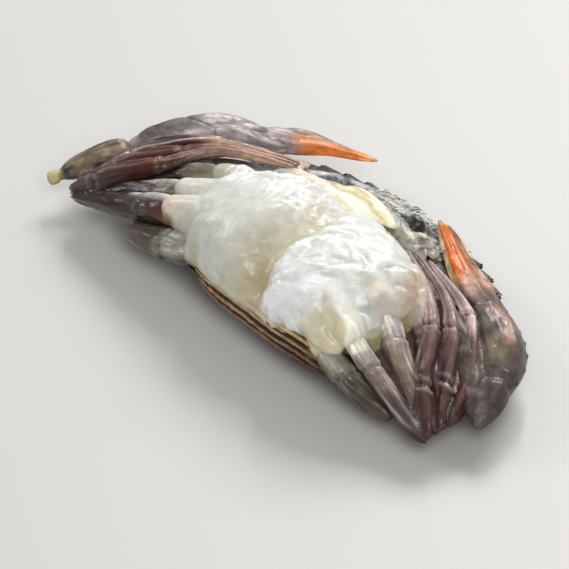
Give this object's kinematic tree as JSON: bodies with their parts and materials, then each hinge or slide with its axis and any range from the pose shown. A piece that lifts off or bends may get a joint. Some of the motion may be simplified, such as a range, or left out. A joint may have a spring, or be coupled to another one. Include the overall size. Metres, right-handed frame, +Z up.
{
  "type": "soft shell crab",
  "caption": "Raw dressed soft shell crab lying on its back, pale breast up, with legs and claws folded in around it; food prop that rests on a flat spot of its shell.",
  "frame": {"origin": "middle of the crab's outline, on the surface that it rests on", "axes": "+X from the crab's left end to its right end in the picture, +Y towards the cut front edge of its shell, +Z up, out of its breast"},
  "size_m": [0.1104, 0.0524, 0.026],
  "materials": {
    "crab_skin": "wet, glossy"
  },
  "bodies": {
    "root": {"soft_shell_crab": "crab_skin"}
  },
  "joints": []
}
